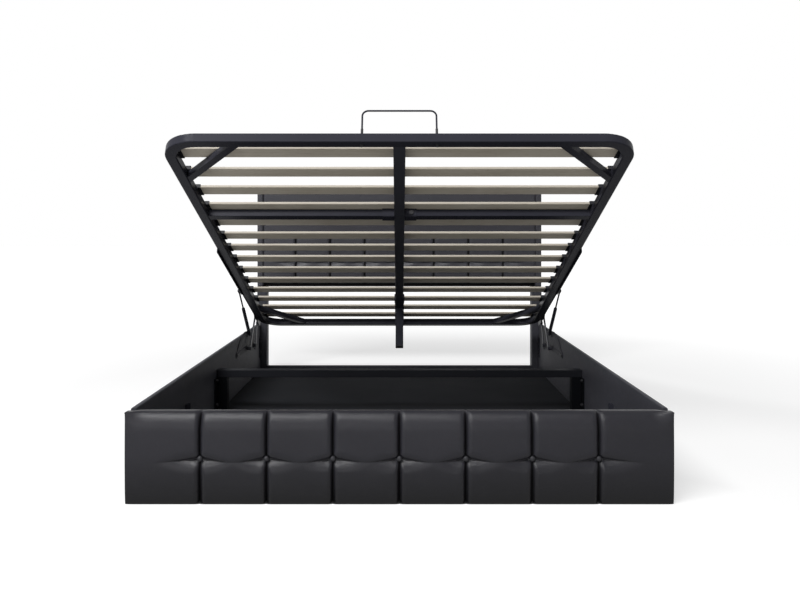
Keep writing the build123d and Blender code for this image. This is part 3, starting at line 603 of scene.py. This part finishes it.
# the pad is raised above the board's edge so that the dark lining shows as painted shade
painted_shade_strip, pad_gap = 0.020, 0.005
tuft_low, tuft_high = room_of("headboard_tufted_pad", (pad_gap, 0, painted_shade_strip),
                              (-pad_gap, 0, -pad_gap))
tuft_size = tuft_high - tuft_low
head_seams = seam_places(tuft_size[X])
head_button_height = 0.145 - painted_shade_strip
head_tufts = padded_board(
    "headboard_tufted_leather", tuft_low, tuft_high, along=X, front=(Y, -1),
    corners=((0.012, 0.020), (0.009, 0.011), (0.002, 0.002), (0.002, 0.002)), end_round=0.007,
    stops=column_stops(head_seams, tuft_size[X]), step=0.0028, finish=black_leather,
    press=tufting(head_seams, tuft_size, head_button_height, seam_depth=0.023,
                  crease_depth=0.018, button_depth=0.015, edge_share=0.1),
    fold=head_button_height)
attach(head_tufts, "root")
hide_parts("headboard_tufted_pad")


# Buttons of the headboard: the same covered steel shells, a little smaller, tied through the
# lower pad where its seams cross its crease.

head_buttons = button_row("headboard_buttons_leather", tuft_low, head_seams, inset=0.010,
                          height=head_button_height, diameter=0.0155, rise=0.0055)
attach(head_buttons, "root")
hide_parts("headboard_buttons")


# Headboard's upper pad: plain foam on a thin board, wrapped in the same leather and screwed
# to the back above the tufted pad.

upper_low, upper_high = room_of("headboard_upper_pad", (pad_gap, 0, 0), (-pad_gap, 0, 0))
upper_length, upper_depth, upper_height = upper_high - upper_low
upper_pad = padded_board(
    "headboard_upper_leather", upper_low, upper_high, along=X, front=(Y, -1),
    corners=((0.009, 0.012), (0.014, 0.018), (0.004, 0.004), (0.002, 0.002)), end_round=0.010,
    stops=even_stops(upper_length, count=80), step=0.006, finish=black_leather,
    press=soft_edges(0.002, upper_depth, upper_height))
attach(upper_pad, "root")
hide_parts("headboard_upper_pad")


# Headboard's borders: two narrow upright pads in leather, one at each end of the wide pads,
# screwed to the back from behind. Each reaches from the wide pads to the board's end.

border_low, border_high = room_of("headboard_borders")
for side, sign in (("left", -1), ("right", 1)):
    outer, inner = sign * border_high[X], sign * upper_high[X]
    low = np.array((min(outer, inner), border_low[Y], border_low[Z]))
    high = np.array((max(outer, inner), border_high[Y], border_high[Z]))
    border = padded_board(
        f"headboard_border_{side}", low, high, along=Z, front=(Y, -1),
        corners=((0.011, 0.009), (0.011, 0.009), (0.002, 0.002), (0.002, 0.002)), end_round=0.008,
        stops=even_stops(high[Z] - low[Z], count=60), step=0.003, finish=black_leather)
    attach(border, "root")
    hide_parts("headboard_borders")


# Headboard's legs: two posts in thin foam and the rails' leather, bolted under the back's
# two ends. The side rails hook into them.

for side in ("left", "right"):
    low, high = room_of(f"headboard_leg_{side}")
    leg = padded_board(
        f"headboard_leg_leather_{side}", low, high, along=Z, front=(Y, -1),
        corners=((0.005, 0.005),) * 4, end_round=0.002,
        stops=even_stops(high[Z] - low[Z], count=40), step=0.006, finish=rail_leather)
    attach(leg, "root")
    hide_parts(f"headboard_leg_{side}")


# Rear rail: a low board in leather between the headboard's legs, which it ties together
# behind the storage floor.

low, high = room_of("rear_rail")
rear_rail = padded_board(
    "rear_rail_leather", low, high, along=X, front=(Y, -1), corners=((0.003, 0.003),) * 4,
    end_round=0.002, stops=even_stops(high[X] - low[X], count=40), step=0.006,
    finish=black_leather)
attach(rear_rail, "root")
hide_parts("rear_rail")


# Rail brackets: hook plates and slotted cradles of pressed steel, powder coated black, and
# the blackened bolts that hold them to the rails.

def repaint(names, material):
    """Gives CAD nodes a finish in place of their plain one."""
    for name in names:
        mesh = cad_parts[name].data
        mesh.materials.clear()
        mesh.materials.append(material)


def powder_coat(name, shade, roughness, shine):
    """Powder coat: a fine orange-peel skin, slightly uneven in gloss, with a little dust."""
    material, tree, shader, coords = new_material(name)
    peel = noise(tree, coords, scale=380.0, detail=3.0)
    cloud = noise(tree, coords, scale=6.0, detail=4.0)
    spots = node(tree, "ShaderNodeTexVoronoi", {"Vector": coords, "Scale": 260.0})
    gloss = ramp(tree, spots.outputs["Distance"], result=(roughness - 0.04, roughness + 0.06))
    wire(shader, {"Base Color": mix(tree, cloud, shaded(shade, 0.85), shaded(shade, 1.2)),
                  "Normal": relief(tree, peel, strength=0.18, distance=0.0002),
                  "Roughness": gloss, "Specular IOR Level": shine})
    return material


def worn_metal(name, shade, metallic, roughness):
    """Blackened or hardened steel, rubbed brighter in small patches."""
    material, tree, shader, coords = new_material(name)
    rub = noise(tree, coords, scale=90.0, detail=5.0)
    patches = ramp(tree, rub, given=(0.45, 0.75))
    wire(shader, {"Base Color": mix(tree, patches, shade, shaded(shade, 1.8)),
                  "Roughness": ramp(tree, rub, result=(roughness - 0.05, roughness + 0.12)),
                  "Metallic": metallic, "Specular IOR Level": 0.2})
    return material


black_coat = powder_coat("black_powder_coat", (0.026, 0.0265, 0.0345), roughness=0.26, shine=0.025)
blackened_steel = worn_metal("blackened_steel", (0.016, 0.016, 0.018), metallic=0.15, roughness=0.45)
repaint(["rail_brackets"], black_coat)
repaint(["rail_bolts"], blackened_steel)


# Storage floor: two panels of thin board faced with black cloth, laid loose between the
# rails, end to end under the middle bar.

def faced_board():
    """Board with a thin black woven face, a little dusty."""
    material, tree, shader, coords = new_material("faced_board")
    weave = node(tree, "ShaderNodeTexChecker", {"Vector": coords, "Scale": 900.0})
    dust = noise(tree, coords, scale=5.0, detail=6.0)
    specks = noise(tree, coords, scale=700.0, detail=2.0, output="Color")
    speck_share = 0.35
    tone = mix(tree, dust, (0.014, 0.0148, 0.0175), (0.023, 0.0238, 0.0265))
    wire(shader, {"Base Color": mix(tree, speck_share, tone, specks, blend="OVERLAY"),
                  "Normal": relief(tree, weave.outputs["Fac"], strength=0.2, distance=0.0002),
                  "Roughness": 0.9, "Specular IOR Level": 0.04})
    return material


repaint(["floor_panel_front", "floor_panel_rear"], faced_board())


# Middle bar: a steel tube across the bed over the joint of the two panels, on a post at each
# # end. Bar and posts are powder coated in shaded copies of the platform's coat: their colour is
# # painted darker, as painted shade, and they are duller.

repaint(["middle_bar"], powder_coat("bar_powder_coat", (0.0115, 0.012, 0.0145),
                                    roughness=0.42, shine=0.02))
repaint(["middle_posts"], powder_coat("post_powder_coat", (0.0045, 0.005, 0.006),
                                      roughness=0.45, shine=0.02))


# Lift mechanism: on each side a pressed base plate on the rail, two links of steel strip, and
# a gas spring. Its cylinder is coated, and its rod is ground and hardened dark.

repaint(["lift_base_left", "lift_base_right"],
        powder_coat("plate_powder_coat", (0.032, 0.032, 0.039), roughness=0.60, shine=0.07))
repaint(["rear_link_left", "rear_link_right", "front_link_left", "front_link_right",
         "gas_cylinder_left", "gas_cylinder_right"], black_coat)
repaint(["gas_rod_left", "gas_rod_right"],
        worn_metal("hardened_rod", (0.012, 0.012, 0.014), metallic=0.15, roughness=0.32))


# Platform: a ring of bent steel tube with corner braces, cross tubes in sleeves, and a centre
# beam on a leg. Welded and powder coated, with a wire handle and two lift arms bolted on.

repaint(["platform_frame", "corner_braces", "cross_tubes", "cross_sleeves", "leg_bracket",
         "centre_leg", "handle", "lift_arm_left", "lift_arm_right"], black_coat)
# The centre beam's coat is a lit copy of the platform's, painted lighter as painted light.
repaint(["centre_beam_foot", "centre_beam_head"],
        powder_coat("beam_powder_coat", (0.040, 0.041, 0.050), roughness=0.30, shine=0.05))
repaint(["platform_bolts", "handle_fittings"], blackened_steel)


# Slats: strips of birch, glued in thin layers, sanded and left pale. Each lies across the
# platform with its ends in black plastic holders on the side tubes.

def birch(name, tilt):
    """Birch strip: long grain along X, pores, and darker glued layers on the two long edges.

    tilt: slope of the platform, which grain and layers follow.
    """
    material, tree, shader, coords = new_material(name)
    level = node(tree, "ShaderNodeMapping",
                 {"Vector": coords, "Rotation": (tilt, 0, 0)}).outputs[0]
    fibre_way = node(tree, "ShaderNodeMapping", {"Vector": level, "Scale": (0.9, 26.0, 60.0)})
    pore_way = node(tree, "ShaderNodeMapping", {"Vector": level, "Scale": (30.0, 900.0, 900.0)})
    grain = noise(tree, fibre_way.outputs[0], scale=4.0, detail=7.0, distortion=0.8)
    pores = noise(tree, pore_way.outputs[0], scale=1.0, detail=3.0)
    flame = noise(tree, level, scale=2.4, detail=3.0, distortion=2.0)
    flame_share = 0.35
    pale = mix(tree, grain, (0.47, 0.42, 0.335), (0.64, 0.59, 0.505))
    toned = mix(tree, flame_share, pale, flame, blend="SOFT_LIGHT")
    face = mix(tree, ramp(tree, pores, given=(0.30, 0.42)), (0.36, 0.31, 0.235), toned)
    layers = node(tree, "ShaderNodeTexWave", {"Vector": level, "Scale": 95.0, "Distortion": 1.2,
                                              "Detail": 2.0}, bands_direction="Z")
    ply = mix(tree, layers.outputs["Fac"], (0.33, 0.295, 0.245), (0.47, 0.435, 0.375))
    # the long edges are the faces that look along the platform
    normal = node(tree, "ShaderNodeTexCoord").outputs["Normal"]
    along = node(tree, "ShaderNodeVectorMath", {0: normal, 1: (0, math.cos(tilt), -math.sin(tilt))},
                 operation="DOT_PRODUCT")
    either_way = node(tree, "ShaderNodeMath", {0: along.outputs["Value"]}, operation="ABSOLUTE")
    edge = ramp(tree, either_way.outputs[0], given=(0.80, 0.97))
    wire(shader, {"Base Color": mix(tree, edge, face, ply),
                  "Normal": relief(tree, grain, strength=0.08, distance=0.0003),
                  "Roughness": 0.58, "Specular IOR Level": 0.35})
    return material


def moulded_plastic(name, shade, roughness):
    """Black moulded plastic with a fine spark-eroded surface."""
    material, tree, shader, coords = new_material(name)
    grain = noise(tree, coords, scale=1100.0, detail=3.0)
    flow = noise(tree, coords, scale=30.0, detail=2.0)
    wire(shader, {"Base Color": mix(tree, flow, shaded(shade, 0.8), shaded(shade, 1.25)),
                  "Normal": relief(tree, grain, strength=0.25, distance=0.00015),
                  "Roughness": roughness, "Specular IOR Level": 0.15})
    return material


slat_count, platform_tilt = 14, math.radians(24)
repaint([f"slat_{number:02d}" for number in range(1, slat_count + 1)],
        birch("birch_slats", platform_tilt))
black_plastic = moulded_plastic("black_plastic", (0.015, 0.0153, 0.018), roughness=0.5)
repaint(["slat_holders"], black_plastic)


# Glides: flat black plastic pads, tapped into the footboard, the headboard's legs and the
# foot of the centre leg, that the bed stands on.

repaint(["feet", "leg_glide"], black_plastic)
